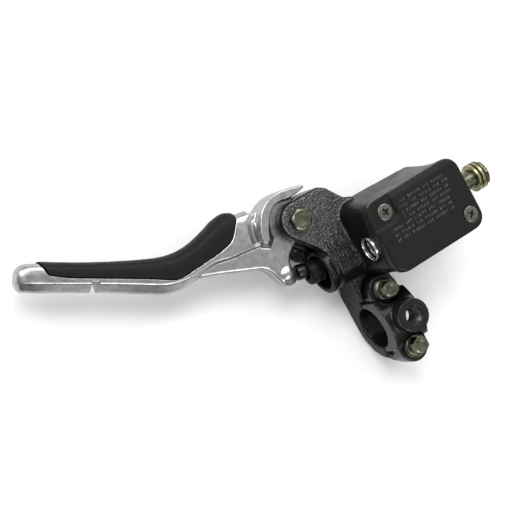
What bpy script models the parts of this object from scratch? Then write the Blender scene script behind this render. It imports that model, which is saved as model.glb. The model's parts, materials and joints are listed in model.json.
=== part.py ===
"""Hydraulic brake master cylinder with reservoir and lever, clamped on the left of a 22 mm handlebar.

Frame: the origin is the centre of the handlebar bore in the plane of the two clamp bolts. +X runs
along the handlebar towards the hose end, +Y forwards, away from the rider, +Z up, out of the lid.
All constants are millimetres and degrees; the meshes are written in metres.
"""

import math

import bmesh
import bpy
import numpy as np
from mathutils import Matrix, Vector

MM = 0.001
ROUND_STEPS = 26  # facets round a turned piece
GAP = 0.3  # clearance between two pieces that touch

# Handlebar clamp
BAR_R = 11.1
CLAMP_X = (-10.3, 9.6)
SADDLE_R = 17.5
ARCH_R = 18.9
ARCH_Y = 13.6
SPLIT_Z = 0.25
BOLT_Y = 16.0
LUG_R, SADDLE_LUG_R = 8.3, 7.4
LUG_TOP = 10.8
LUG_BOTTOM = -8.0
BOLT_SHANK_R, BOLT_HOLE_R = 2.7, 3.1
SPOT_R = 7.2
MIRROR_X, MIRROR_R, MIRROR_HOLE_R, MIRROR_TOP = 1.0, 8.5, 4.5, 25.7

# Cylinder barrel, along X
CYL_Y = 38.7
MOUTH_X, BARREL_END_X, BOSS_END_X = -22.0, 60.0, 69.0
BARREL_R, BOSS_R = 12.0, 9.0
MOUTH_R, SEAT_R, BORE_R = 9.2, 7.3, 6.35
MOUTH_BACK_X, SEAT_BACK_X, BORE_END_X = -9.8, -6.9, 46.0
PORT_R, PORT_START_X, PASSAGE_R = 5.15, 57.0, 1.5
REPLENISH_X, REPLENISH_R = 11.0, 1.2
COMPENSATE_X, COMPENSATE_R = 24.4, 0.5

# Reservoir and lid
LID_CENTRE, LID_HALF, LID_CORNER = (27.0, 41.0), (28.5, 19.3), 7.0
LID_BOTTOM, LID_TOP = 31.2, 37.2
POCKET_DEPTH, POCKET_EDGE = 0.9, (13.6, 46.0)
WALL_TOP = 29.9
CAVITY_FLOOR = 9.0
CAVITY_X, CAVITY_Y = (2.7, 51.6), (25.4, 56.6)
TUB_X, TUB_Y = (14.6, 43.6), (27.6, 54.8)
SCREWS = ((8.3, 52.6), (49.2, 29.4))
SCREW_HEAD_R, SCREW_R, SCREW_HOLE_R, SCREW_BOSS_R = 4.1, 1.9, 2.3, 4.8
SIGHT_Y, SIGHT_Z, SIGHT_R, SIGHT_WINDOW_R = 39.1, 23.5, 6.6, 4.8
SIGHT_SEAT_X = 1.4

# Pivot and fork
PIVOT = (-22.7, 67.8)
EAR_TOP, EAR_INNER, EAR_BOTTOM = 11.0, 4.8, -10.5
PIVOT_SHANK_R, PIVOT_HOLE_R = 2.9, 3.25
PIVOT_FLATS, PIVOT_HEAD = 10.0, 3.7
HUB_HALF, HUB_HOLE_R, BUSH_R = 4.5, 4.95, 4.6
FORK_FLOOR_R = 11.0
SHELF_TOP = -6.5

# Lever
BLADE_HALF = 6.2
WALL_INNER_R, WALL_Z = 13.9, (-5.0, 8.6)
KNOB, KNOB_R = (-38.5, 45.8), 5.2
DOME, DOME_R, KNOB_HALF = (-39.0, 47.2), 4.9, 5.9
ARM_EDGE = 1.5
RUBBER_SKIN, RUBBER_PROUD = 2.3, 0.8
NOTCH_AT, NOTCH_WIDTH, NOTCH_DEPTH = (-129.6, 87.0), 3.2, 5.4

# Push rod: from its ball seat in the piston to just short of the lever's knob
ROD_SEAT_X = -5.0
KNOB_GAP = 0.4
BOOT_LEAN, BOOT_HOLE_R = math.radians(6.6), 2.95

# Hose bolt
WASHER_X = (79.4, 82.1)
WASHER_R, WASHER_HOLE_R, WASHER_T = 7.6, 5.9, 1.7
BANJO_R, BANJO_START_X, BANJO_FLANGE_X, BANJO_HEX_X, BANJO_END_X = 4.75, 60.5, 84.2, 85.2, 87.5
CROSS_HOLE_X, CROSS_HOLE_R = 74.6, 1.3


# ---------------------------------------------------------------- building blocks


def clear_scene():
    for obj in list(bpy.data.objects):
        bpy.data.objects.remove(obj, do_unlink=True)


def mesh_object(name, bm):
    """An object in the scene from a bmesh in millimetres, its faces turned outwards."""
    bmesh.ops.remove_doubles(bm, verts=bm.verts, dist=1e-5)
    bmesh.ops.recalc_face_normals(bm, faces=bm.faces)
    bmesh.ops.scale(bm, vec=(MM, MM, MM), verts=bm.verts)
    mesh = bpy.data.meshes.new(name)
    bm.to_mesh(mesh)
    bm.free()
    obj = bpy.data.objects.new(name, mesh)
    bpy.context.scene.collection.objects.link(obj)
    return obj


def combine(target, tool, operation):
    """Applies one Boolean to the target and removes the tool."""
    modifier = target.modifiers.new(operation, "BOOLEAN")
    modifier.operation = operation
    modifier.object = tool
    graph = bpy.context.evaluated_depsgraph_get()
    result = bpy.data.meshes.new_from_object(target.evaluated_get(graph))
    target.modifiers.clear()
    target.data = result
    bpy.data.objects.remove(tool, do_unlink=True)
    return target


def cut(target, *tools):
    for tool in tools:
        combine(target, tool, "DIFFERENCE")
    return target


def fuse(target, *tools):
    for tool in tools:
        combine(target, tool, "UNION")
    return target


def keep(target, tool):
    return combine(target, tool, "INTERSECT")


def prism(name, outline, z0, z1, edge=0.0, segments=2):
    """The outline extruded from z0 to z1, with its rims rounded where edge is given."""
    bm = bmesh.new()
    face = bm.faces.new([bm.verts.new((x, y, z0)) for x, y in outline])
    grown = bmesh.ops.extrude_face_region(bm, geom=[face])
    moved = [item for item in grown["geom"] if isinstance(item, bmesh.types.BMVert)]
    bmesh.ops.translate(bm, vec=(0, 0, z1 - z0), verts=moved)
    if edge:
        rims = [e for e in bm.edges if abs(e.verts[0].co.z - e.verts[1].co.z) < 1e-6]
        bmesh.ops.bevel(bm, geom=rims, offset=edge, segments=segments, affect="EDGES", profile=0.5)
    return mesh_object(name, bm)


def box(name, x, y, z):
    return prism(name, [(x[0], y[0]), (x[1], y[0]), (x[1], y[1]), (x[0], y[1])], *z)


def prism_along_x(name, outline_yz, x0, x1):
    obj = prism(name, outline_yz, x0, x1)
    obj.data.transform(Matrix(((0, 0, 1, 0), (1, 0, 0, 0), (0, 1, 0, 0), (0, 0, 0, 1))))
    return obj


def turned(name, profile, axis, centre, steps=ROUND_STEPS):
    """A closed profile of (along, radius) turned about a line along X or Z through the centre."""
    bm = bmesh.new()
    verts = [bm.verts.new((radius, 0, along)) for along, radius in profile]
    ring = [(verts[i], verts[(i + 1) % len(verts)]) for i in range(len(verts))]
    on_axis = [a.co.x < 1e-9 and b.co.x < 1e-9 for a, b in ring]
    edges = [bm.edges.new(pair) for pair, skip in zip(ring, on_axis) if not skip]
    bmesh.ops.spin(
        bm, geom=verts + edges, cent=(0, 0, 0), axis=(0, 0, 1), angle=2 * math.pi, steps=steps,
        use_merge=True,
    )
    if axis == "X":
        bm.transform(Matrix(((0, 0, 1, 0), (0, 1, 0, 0), (-1, 0, 0, 0), (0, 0, 0, 1))))
    bmesh.ops.translate(bm, vec=centre, verts=bm.verts)
    return mesh_object(name, bm)


def rod(name, radius, span, axis, centre, steps=ROUND_STEPS):
    """A plain round bar, also used as a drill."""
    a, b = span
    return turned(name, [(a, 0), (a, radius), (b, radius), (b, 0)], axis, centre, steps)


def ring(name, inner, outer, span, axis, centre, steps=ROUND_STEPS):
    a, b = span
    return turned(name, [(a, inner), (a, outer), (b, outer), (b, inner)], axis, centre, steps)


def hexagon(name, across_flats, span, axis, centre, chamfer=0.5):
    """A hexagonal head: a prism whose outer corners a shallow cone takes off."""
    corner = across_flats / math.sqrt(3)
    a, b = span
    hexa = rod(name, corner, span, axis, centre, 6)
    trim = [(a - 1, 0), (a - 1, corner + 1), (b - chamfer, corner + 1), (b + chamfer, across_flats / 2 - 0.6)]
    return keep(hexa, turned(name + "_trim", trim + [(b + chamfer, 0)], axis, centre, 24))


def loft(name, rings):
    """A solid through a row of loops with the same number of points, closed at both ends."""
    bm = bmesh.new()
    loops = [[bm.verts.new(point) for point in loop] for loop in rings]
    count = len(loops[0])
    for first, second in zip(loops, loops[1:]):
        for i in range(count):
            j = (i + 1) % count
            bm.faces.new((first[i], first[j], second[j], second[i]))
    bm.faces.new(loops[0])
    bm.faces.new(loops[-1])
    return mesh_object(name, bm)


def rounded(corners, steps=5):
    """A closed outline from (x, y, radius) corners, each rounded by an arc."""
    points = []
    count = len(corners)
    for i, (x, y, radius) in enumerate(corners):
        here = Vector((x, y))
        if not radius:
            points.append((x, y))
            continue
        before = (Vector(corners[i - 1][:2]) - here).normalized()
        after = (Vector(corners[(i + 1) % count][:2]) - here).normalized()
        half = before.angle(after) / 2
        centre = here + (before + after).normalized() * (radius / math.sin(half))
        start = here + before * (radius / math.tan(half)) - centre
        end = here + after * (radius / math.tan(half)) - centre
        turn = start.angle_signed(end)
        for k in range(steps + 1):
            points.append(tuple(centre + Matrix.Rotation(-turn * k / steps, 2) @ start))
    return points


def rounded_box(x, y, radius, steps=5):
    return rounded(
        [(x[0], y[0], radius), (x[1], y[0], radius), (x[1], y[1], radius), (x[0], y[1], radius)], steps
    )


def arc(centre, radius, start, end, steps):
    angles = [math.radians(start + (end - start) * k / steps) for k in range(steps + 1)]
    return [(centre[0] + radius * math.cos(a), centre[1] + radius * math.sin(a)) for a in angles]


def smooth_curve(points, pieces):
    """Catmull-Rom curve through the points, with so many pieces between two of them."""
    spots = np.array([points[0], *points, points[-1]], float)
    found = []
    for i in range(1, len(spots) - 2):
        a, b, c, d = spots[i - 1 : i + 3]
        for k in range(pieces):
            t = k / pieces
            slope = (c - a) + (2 * a - 5 * b + 4 * c - d) * t + (3 * b - a - 3 * c + d) * t * t
            found.append(b + 0.5 * t * slope)
    found.append(spots[-2])
    return found


def finish_piece(obj, colour, roughness, metallic, origin=None, parent=None):
    """Gives a piece its material, shading, origin and parent."""
    material = bpy.data.materials.new(obj.name)
    material.use_nodes = True
    shader = material.node_tree.nodes["Principled BSDF"]
    shader.inputs["Base Color"].default_value = (*colour, 1)
    shader.inputs["Roughness"].default_value = roughness
    shader.inputs["Metallic"].default_value = metallic
    obj.data.materials.clear()
    obj.data.materials.append(material)
    obj.data.shade_smooth()
    obj.data.set_sharp_from_angle(angle=math.radians(35))
    if origin is not None:
        spot = Vector(origin) * MM
        obj.data.transform(Matrix.Translation(-spot))
        obj.location = spot
    if parent is not None:
        obj.parent = parent
        obj.matrix_parent_inverse = Matrix.Translation(-parent.location)
    return obj


def joint_empty(name, spot, parent=None):
    empty = bpy.data.objects.new(name, None)
    bpy.context.scene.collection.objects.link(empty)
    empty.location = Vector(spot) * MM
    if parent is not None:
        empty.parent = parent
        empty.matrix_parent_inverse = Matrix.Translation(-parent.location)
    bpy.context.view_layer.update()
    return empty


BLACK_PAINT = ((0.012, 0.012, 0.013), 0.3, 0.0)
LID_BLACK = ((0.022, 0.022, 0.023), 0.45, 0.0)
BARE_ALUMINIUM = ((0.55, 0.55, 0.54), 0.35, 1.0)
OLIVE_ZINC = ((0.32, 0.31, 0.24), 0.38, 1.0)
STEEL = ((0.5, 0.5, 0.49), 0.3, 1.0)
BLACK_STEEL = ((0.03, 0.03, 0.03), 0.35, 1.0)
RUBBER = ((0.02, 0.02, 0.021), 0.6, 0.0)
BRONZE = ((0.5, 0.35, 0.16), 0.35, 1.0)
GLASS = ((0.09, 0.11, 0.09), 0.05, 0.0)
ANODISED = ((0.45, 0.46, 0.48), 0.3, 1.0)
GREY_PLASTIC = ((0.12, 0.12, 0.12), 0.5, 0.0)


# ---------------------------------------------------------------- master cylinder body


def lug_outlines(radius):
    """Plan outlines of the two bolt lugs, in front of the bar and behind it."""
    front = [*arc((0, BOLT_Y), radius, 0, 180, 14), (-radius, 6), (radius, 6)]
    rear = [*arc((0, -BOLT_Y), radius, 180, 360, 14), (radius, -6), (-radius, -6)]
    return front, rear


def barrel():
    profile = [
        (MOUTH_X, 0), (MOUTH_X, BARREL_R - 0.5), (MOUTH_X + 0.5, BARREL_R), (MOUTH_X + 3.2, BARREL_R),
        (MOUTH_X + 3.7, BARREL_R - 1.1), (MOUTH_X + 5.7, BARREL_R - 1.1), (MOUTH_X + 6.2, BARREL_R),
        (BARREL_END_X, BARREL_R), (BARREL_END_X + 2.5, BOSS_R), (BOSS_END_X - 0.6, BOSS_R),
        (BOSS_END_X, BOSS_R - 0.6), (BOSS_END_X, 0),
    ]  # fmt: skip
    return turned("master_cylinder_body", profile, "X", (0, CYL_Y, 0), 36)


def reservoir_tower():
    """The walls under the lid, drafted outwards to their foot, more so in front."""
    top = rounded([(-0.8, 22.4, 6.5), (54.8, 22.4, 6.5), (54.8, 59.6, 6), (46, 59.7, 0), (-0.8, 59.6, 6.5)])
    foot = rounded([(-3.4, 24.5, 6.5), (54.4, 24.5, 6.5), (54.4, 58.6, 3), (45.5, 62.9, 0), (-3.4, 64.7, 6.5)])
    return loft("tower", [[(x, y, 4.5) for x, y in foot], [(x, y, WALL_TOP) for x, y in top]])


FORK_FRONT = [(9, 36), (9, 64.6), (4.6, 66.4), (1.4, 70.6), (-1.7, 74.9), (-5.3, 77.3), (-12, 77.7)]


def fork_outline():
    """Plan outline of the fork's two plates, from the ear round the pivot to the reservoir's foot."""
    ear = arc(PIVOT, 10.0, 78, 218, 14)
    return [*FORK_FRONT, *ear,
            (-26.4, 57.2), (-21.2, 51.4), (-18.6, 47), (-18.2, 36)]  # fmt: skip


def fork_web_outline():
    """Plan outline of the block that joins the two plates, clear of the lever's hub."""
    hollow = arc(PIVOT, FORK_FLOOR_R, 50, -58, 10)
    return [*FORK_FRONT, *hollow,
            (-16.9, 52), (-16.9, 36)]  # fmt: skip


def lower_shelf():
    """The lower plate's foot under the push rod, which joins it to the mouth of the barrel."""
    outline = [(-18, 60), (-23.5, 57.6), (-26.8, 54.8), (-29.0, 51.6), (-27.0, 48.4), (-23.5, 45.6), (-17, 44)]
    return prism("shelf", outline, EAR_BOTTOM, SHELF_TOP, 0.8, 1)


def clamp_arm():
    """The arm from the barrel to the lower half of the clamp."""
    saddle = prism_along_x("saddle", [*arc((0, 0), SADDLE_R, 180, 270, 14), (20, -SADDLE_R), (29, -10.6),
                                      (38, -10.6), (38, -SPLIT_Z)], -10.3, 10.3)  # fmt: skip
    for outline in lug_outlines(SADDLE_LUG_R):
        fuse(saddle, prism("lug", outline, LUG_BOTTOM, -SPLIT_Z))
    block = box("block", (-10.4, 10.4), (10, 38), (-8, 4.6))
    cut(block, prism("clearance", [*arc((0, BOLT_Y), LUG_R + 0.8, 0, 180, 16), (-20, 6), (20, 6)],
                     -SPLIT_Z, 9))  # fmt: skip
    return fuse(saddle, block)


def body_drillings(body):
    """Bores, ports and threaded holes of the casting."""
    centre = (0, CYL_Y, 0)
    bore = [
        (MOUTH_X - 2, 0), (MOUTH_X - 2, MOUTH_R), (MOUTH_BACK_X, MOUTH_R), (MOUTH_BACK_X, SEAT_R),
        (SEAT_BACK_X, SEAT_R), (SEAT_BACK_X, BORE_R), (BORE_END_X, BORE_R), (BORE_END_X + 3, PASSAGE_R),
        (PORT_START_X, PASSAGE_R), (PORT_START_X, PORT_R), (BOSS_END_X + 2, PORT_R), (BOSS_END_X + 2, 0),
    ]  # fmt: skip
    cut(body, turned("bore", bore, "X", centre))
    for name, x, radius in (("feed", REPLENISH_X, REPLENISH_R), ("vent", COMPENSATE_X, COMPENSATE_R)):
        cut(body, rod(name, radius, (3, CAVITY_FLOOR + 1), "Z", (x, CYL_Y, 0), 10))
    for x, y in SCREWS:
        cut(body, rod("tap", SCREW_HOLE_R, (17, WALL_TOP + 2), "Z", (x, y, 0), 14))
    for y in (BOLT_Y, -BOLT_Y):
        cut(body, rod("tap", BOLT_HOLE_R, (-9.4, 2), "Z", (0, y, 0), 16))
    cut(body, rod("pivot_hole", PIVOT_HOLE_R, (-20, 20), "Z", (*PIVOT, 0), 20))


def reservoir_cavity():
    cavity = prism("cavity", rounded_box(CAVITY_X, CAVITY_Y, 4), CAVITY_FLOOR, WALL_TOP + 3)
    for x, y in SCREWS:
        cut(cavity, rod("post", SCREW_BOSS_R, (0, 40), "Z", (x, y, 0), 20))
    return cavity


def make_body():
    body = barrel()
    plates = prism("plates", fork_outline(), EAR_BOTTOM, EAR_TOP, 0.8, 1)
    slot = box("slot", (-60, 20), (30, 100), (-EAR_INNER, EAR_INNER))
    cut(slot, prism("slot_floor", fork_web_outline(), -9, 9))
    cut(plates, slot)
    fuse(body, reservoir_tower(), plates, lower_shelf(), clamp_arm())
    cut(body, rod("bar", BAR_R, (-30, 30), "X", (0, 0, 0), 40))
    cut(body, reservoir_cavity())
    body_drillings(body)
    window = [(-12, 0), (-12, SIGHT_R), (SIGHT_SEAT_X, SIGHT_R), (SIGHT_SEAT_X, SIGHT_WINDOW_R),
              (5, SIGHT_WINDOW_R), (5, 0)]  # fmt: skip
    cut(body, turned("window", window, "X", (0, SIGHT_Y, SIGHT_Z)))
    return finish_piece(body, *BLACK_PAINT)


# ---------------------------------------------------------------- clamp


def make_clamp_cap():
    half = [*arc((0, 0), ARCH_R, 0, 180, 20)]
    cap = prism_along_x("clamp_cap", half, *CLAMP_X)
    keep(cap, box("arch_sides", (-30, 30), (-ARCH_Y, ARCH_Y), (SPLIT_Z, 40)))
    for outline in lug_outlines(LUG_R):
        fuse(cap, prism("lug", outline, SPLIT_Z, LUG_TOP))
    fuse(cap, rod("boss", MIRROR_R, (12, MIRROR_TOP), "Z", (MIRROR_X, 0, 0), 32))
    for y in (BOLT_Y, -BOLT_Y):
        cut(cap, rod("spot", SPOT_R, (LUG_TOP, 30), "Z", (0, y, 0)))
        cut(cap, rod("hole", BOLT_HOLE_R, (-2, 30), "Z", (0, y, 0), 16))
    cut(cap, rod("bar", BAR_R, (-30, 30), "X", (0, 0, 0), 40))
    cut(cap, rod("mirror_hole", MIRROR_HOLE_R, (5, 40), "Z", (MIRROR_X, 0, 0), 24))
    return finish_piece(cap, *BLACK_PAINT)


def make_clamp_bolts():
    washer_z = (LUG_TOP + GAP, LUG_TOP + GAP + 1.2)
    flange_z = washer_z[1] + GAP
    for place, y in (("front", BOLT_Y), ("rear", -BOLT_Y)):
        centre = (0, y, 0)
        washer = ring("clamp_washer_" + place, 3.1, 6.3, washer_z, "Z", centre)
        finish_piece(washer, *OLIVE_ZINC)
        shaft = [(-8.6, 0), (-8.6, 2.2), (-8, BOLT_SHANK_R), (flange_z, BOLT_SHANK_R), (flange_z, 5.9),
                 (flange_z + 0.6, 6.0), (flange_z + 1.3, 4.9), (flange_z + 1.3, 0)]  # fmt: skip
        bolt = turned("clamp_bolt_" + place, shaft, "Z", centre)
        fuse(bolt, hexagon("head", 8, (flange_z + 0.5, flange_z + 6.7), "Z", centre))
        finish_piece(bolt, *OLIVE_ZINC)


# ---------------------------------------------------------------- reservoir lid and its seals


def make_lid():
    x = (LID_CENTRE[0] - LID_HALF[0], LID_CENTRE[0] + LID_HALF[0])
    y = (LID_CENTRE[1] - LID_HALF[1], LID_CENTRE[1] + LID_HALF[1])
    lid = prism("reservoir_cap", rounded_box(x, y, LID_CORNER), LID_BOTTOM, LID_TOP, 1.2, 2)
    corner = rounded([(-9, POCKET_EDGE[1], 0), (POCKET_EDGE[0], POCKET_EDGE[1], 5), (POCKET_EDGE[0], 70, 0),
                      (-9, 70, 0)])  # fmt: skip
    cut(lid, prism("pocket", corner, LID_TOP - POCKET_DEPTH, 50))
    cut(lid, prism("plate_recess", rounded_box((14.0, 44.2), (27.0, 55.4), 4), 20, LID_BOTTOM + 1.7))
    for (sx, sy), top in zip(SCREWS, (LID_TOP - POCKET_DEPTH, LID_TOP)):
        sink = [(LID_BOTTOM - 2, 0), (LID_BOTTOM - 2, SCREW_HOLE_R), (top - 2.7, SCREW_HOLE_R),
                (top - 0.5, SCREW_HEAD_R + GAP), (top + 5, SCREW_HEAD_R + GAP), (top + 5, 0)]  # fmt: skip
        cut(lid, turned("sink", sink, "Z", (sx, sy, 0)))
    return finish_piece(lid, *LID_BLACK)


def make_lid_screws():
    for place, (x, y), top in zip(("left", "right"), SCREWS, (LID_TOP - POCKET_DEPTH, LID_TOP)):
        profile = [(18, 0), (18, 1.2), (18.8, SCREW_R), (top - 2.4, SCREW_R), (top - 0.4, SCREW_HEAD_R),
                   (top - 0.1, SCREW_HEAD_R), (top + 0.15, SCREW_HEAD_R - 0.5), (top + 0.15, 0)]  # fmt: skip
        screw = turned("cap_screw_" + place, profile, "Z", (x, y, 0), 24)
        for angle in (20, 110):
            blade = box("recess", (-2.1, 2.1), (-0.45, 0.45), (top - 1.3, top + 2))
            blade.data.transform(Matrix.Rotation(math.radians(angle), 4, "Z"))
            blade.data.transform(Matrix.Translation(Vector((x, y, 0)) * MM))
            cut(screw, blade)
        finish_piece(screw, *STEEL)


def make_diaphragm():
    """Rubber bellows that hangs in the fluid, open to the lid, with a flange all round."""
    flange = rounded([(-0.2, 23, 6), (54.2, 23, 6), (54.2, 59, 6), (-0.2, 59, 6)])
    diaphragm = prism("diaphragm", flange, WALL_TOP + GAP, LID_BOTTOM - GAP)
    fuse(diaphragm, prism("tub", rounded_box(TUB_X, TUB_Y, 4), 15, WALL_TOP + 0.6))
    inside_x, inside_y = (TUB_X[0] + 1.1, TUB_X[1] - 1.1), (TUB_Y[0] + 1.1, TUB_Y[1] - 1.1)
    cut(diaphragm, prism("inside", rounded_box(inside_x, inside_y, 3), 16.1, 50))
    for x, y in SCREWS:
        cut(diaphragm, rod("hole", SCREW_HOLE_R, (20, 40), "Z", (x, y, 0), 14))
    finish_piece(diaphragm, *RUBBER)
    plate = prism("diaphragm_plate", rounded_box((14.4, 43.8), (27.4, 55.0), 3.6), LID_BOTTOM, LID_BOTTOM + 1.3)
    cut(plate, rod("vent", 2, (20, 50), "Z", (*LID_CENTRE, 0), 12))
    finish_piece(plate, *GREY_PLASTIC)


def make_baffle():
    """Bent sheet plate over the two ports, which keeps the jet of returning fluid down."""
    floor = CAVITY_FLOOR + GAP
    baffle = box("splash_baffle", (7, 29), (33.6, 43.8), (floor + 2, floor + 2.6))
    for y in ((33.6, 34.2), (43.2, 43.8)):
        fuse(baffle, box("leg", (9, 27), y, (floor, floor + 2.3)))
    finish_piece(baffle, *STEEL)


def make_sight_glass():
    centre = (0, SIGHT_Y, SIGHT_Z)
    outer = SIGHT_R - GAP
    seal = ring("sight_glass_seal", SIGHT_WINDOW_R + 0.3, outer - 0.4, (0.5, 1.1), "X", centre)
    finish_piece(seal, *RUBBER)
    lens = turned("sight_glass_lens", [(-0.7, 0), (-0.7, 5.7), (0.2, 5.7), (0.2, 0)], "X", centre)
    finish_piece(lens, *GLASS)
    bezel = [(-2.7, 5.0), (-2.9, 5.3), (-2.9, outer - 0.3), (-2.6, outer), (-1.0, outer), (-1.0, 4.6)]
    finish_piece(turned("sight_glass_bezel", bezel, "X", centre, 32), *STEEL)


# ---------------------------------------------------------------- inside the cylinder


def make_piston(parent):
    centre = (0, CYL_Y, 0)
    profile = [
        (-2.2, 0), (-2.2, 2.2), (-3.2, 3.2), (-6.9, 3.2), (-6.9, 5.6), (-6.4, 6.0), (1.0, 6.0), (1.0, 4.2),
        (4.5, 4.2), (4.5, 6.0), (7.0, 6.0), (7.8, 4.0), (14.6, 4.0), (15.4, 6.0), (18.5, 6.0), (18.5, 0),
    ]  # fmt: skip
    origin = (0, CYL_Y, 0)
    finish_piece(turned("piston", profile, "X", centre), *ANODISED, origin, parent)
    rear = [(1.3, 4.5), (1.3, 6.0), (3.4, 6.0), (4.2, 5.5), (4.2, 4.5)]
    finish_piece(turned("secondary_cup", rear, "X", centre), *RUBBER, origin, parent)
    front = [(18.8, 0), (18.8, 5.8), (22.8, 6.0), (22.8, 5.2), (20.4, 4.6), (20.4, 0)]
    finish_piece(turned("primary_cup", front, "X", centre), *RUBBER, origin, parent)


def make_return_spring():
    start, end, turns, radius, wire, steps, sides = 20.8, 45.6, 7, 3.7, 0.5, 10, 5
    rings = []
    for k in range(turns * steps + 1):
        angle = 2 * math.pi * k / steps
        along = start + wire + (end - start - 2 * wire) * k / (turns * steps)
        out = Vector((0, math.cos(angle), math.sin(angle)))
        middle = Vector((along, CYL_Y, 0)) + out * radius
        around = [2 * math.pi * s / sides for s in range(sides)]
        rings.append([middle + wire * (math.cos(a) * out + Vector((math.sin(a), 0, 0))) for a in around])
    finish_piece(loft("return_spring", rings), *STEEL)


def make_retainer():
    centre = (0, CYL_Y, 0)
    finish_piece(ring("stop_washer", 4.3, 7.0, (-8.2, -7.2), "X", centre), *STEEL)
    circlip = ring("circlip", 5.5, 7.0, (-9.4, -8.5), "X", centre)
    cut(circlip, box("opening", (-12, -6), (CYL_Y - 2.2, CYL_Y + 2.2), (-9, -2)))
    finish_piece(circlip, *STEEL)


def make_push_rod(parent):
    """The rod and its boot, turned about a line that leans from the ball seat to the knob."""
    lean = math.atan2(KNOB[1] - CYL_Y, ROD_SEAT_X - KNOB[0])
    length = math.hypot(KNOB[0] - ROD_SEAT_X, KNOB[1] - CYL_Y) - KNOB_R - KNOB_GAP
    seat = (ROD_SEAT_X, CYL_Y, 0)

    def lean_by(angle):
        return Matrix.Translation(Vector(seat) * MM) @ Matrix.Rotation(-angle, 4, "Z")

    ball = [(2.5 * math.cos(math.radians(a)), 2.5 * math.sin(math.radians(a))) for a in range(0, 131, 26)]
    shaft = ball + [
        (-12.5, 1.9), (-13, 2.5), (-23.9, 2.5), (-24.2, 3.9), (0.6 - length, 4.0),
        (-length, 3.3), (-length, 0),
    ]  # fmt: skip
    boot = [
        (-23.4, 0), (-23.4, 5.0), (-22.9, 5.8), (-22.2, 6.0), (-17.6, 6.0), (-17.2, 5.4), (-16.4, 5.4),
        (-16, 5.8), (-15.2, 5.6), (-15.2, 0),
    ]  # fmt: skip
    rod_piece = turned("push_rod", shaft, "X", (0, 0, 0))
    rod_piece.data.transform(lean_by(lean))
    finish_piece(rod_piece, *BLACK_STEEL, seat, parent)
    boot_piece = turned("dust_boot", boot, "X", (0, 0, 0))
    boot_piece.data.transform(lean_by(BOOT_LEAN))
    passage = rod("passage", BOOT_HOLE_R, (-40, 0), "X", (0, 0, 0))
    passage.data.transform(lean_by(lean))
    cut(boot_piece, passage)
    finish_piece(boot_piece, *RUBBER, seat, parent)


# ---------------------------------------------------------------- hose bolt


def make_hose_bolt():
    centre = (0, CYL_Y, 0)
    for number, x in enumerate(WASHER_X, 1):
        washer = ring(f"banjo_washer_{number}", WASHER_HOLE_R, WASHER_R, (x, x + WASHER_T), "X", centre)
        finish_piece(washer, *BRONZE)
    shaft = [
        (BANJO_START_X, 1.9), (BANJO_START_X, BANJO_R - 0.7), (BANJO_START_X + 0.7, BANJO_R),
        (BANJO_FLANGE_X, BANJO_R), (BANJO_FLANGE_X, 7.4), (BANJO_FLANGE_X + 0.9, 7.6),
        (BANJO_HEX_X + 0.4, 6.4), (BANJO_HEX_X + 0.4, 0), (78, 0), (77, 1.9),
    ]  # fmt: skip
    bolt = turned("banjo_bolt", shaft, "X", centre)
    fuse(bolt, hexagon("head", 12, (BANJO_HEX_X, BANJO_END_X), "X", centre))
    cross_hole = rod("cross_hole", CROSS_HOLE_R, (-8, 8), "Z", (0, 0, 0), 12)
    cross_hole.data.transform(Matrix.Rotation(math.radians(90), 4, "X"))
    cross_hole.data.transform(Matrix.Translation(Vector((CROSS_HOLE_X, CYL_Y, 0)) * MM))
    cut(bolt, cross_hole)
    finish_piece(bolt, *OLIVE_ZINC)


# ---------------------------------------------------------------- lever and pivot

# Stations of the lever's blade, from its tip to its web: rear edge, front edge, half thickness, how
# high the rear edge stands as a share of that, and where the crest lies, from rear at -1 to front at 1.
STATIONS = [
    ((-161.0, 108.2), (-159.9, 111.0), 2.6, 0.6, -0.4),
    ((-160.2, 105.4), (-157.4, 114.4), 5.0, 0.6, -0.4),
    ((-157.6, 103.4), (-153.2, 115.8), 6.2, 0.5, -0.4),
    ((-150.8, 99.4), (-146.4, 112.9), 6.4, 0.4, -0.42),
    ((-143.0, 95.2), (-138.2, 108.2), BLADE_HALF, 0.36, -0.44),
    ((-129.0, 87.3), (-124.4, 100.5), BLADE_HALF, 0.36, -0.44),
    ((-114.0, 78.4), (-109.0, 92.8), BLADE_HALF, 0.36, -0.44),
    ((-104.0, 72.2), (-98.5, 88.0), BLADE_HALF, 0.36, -0.46),
    ((-96.5, 68.5), (-90.5, 85.0), BLADE_HALF, 0.36, -0.5),
    ((-87.0, 66.9), (-82.5, 83.7), BLADE_HALF, 0.4, -0.56),
    ((-78.0, 67.6), (-74.5, 84.1), BLADE_HALF, 0.5, -0.66),
    ((-69.6, 68.6), (-66.2, 86.0), BLADE_HALF, 0.62, -0.76),
    ((-62.0, 67.3), (-59.3, 88.0), 6.1, 0.7, -0.84),
    ((-55.0, 66.7), (-52.8, 88.4), 6.0, 0.72, -0.86),
    ((-48.6, 65.8), (-47.6, 85.8), 5.8, 0.74, -0.86),
    ((-42.5, 64.8), (-42.0, 84.8), 5.6, 0.76, -0.86),
]


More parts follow.
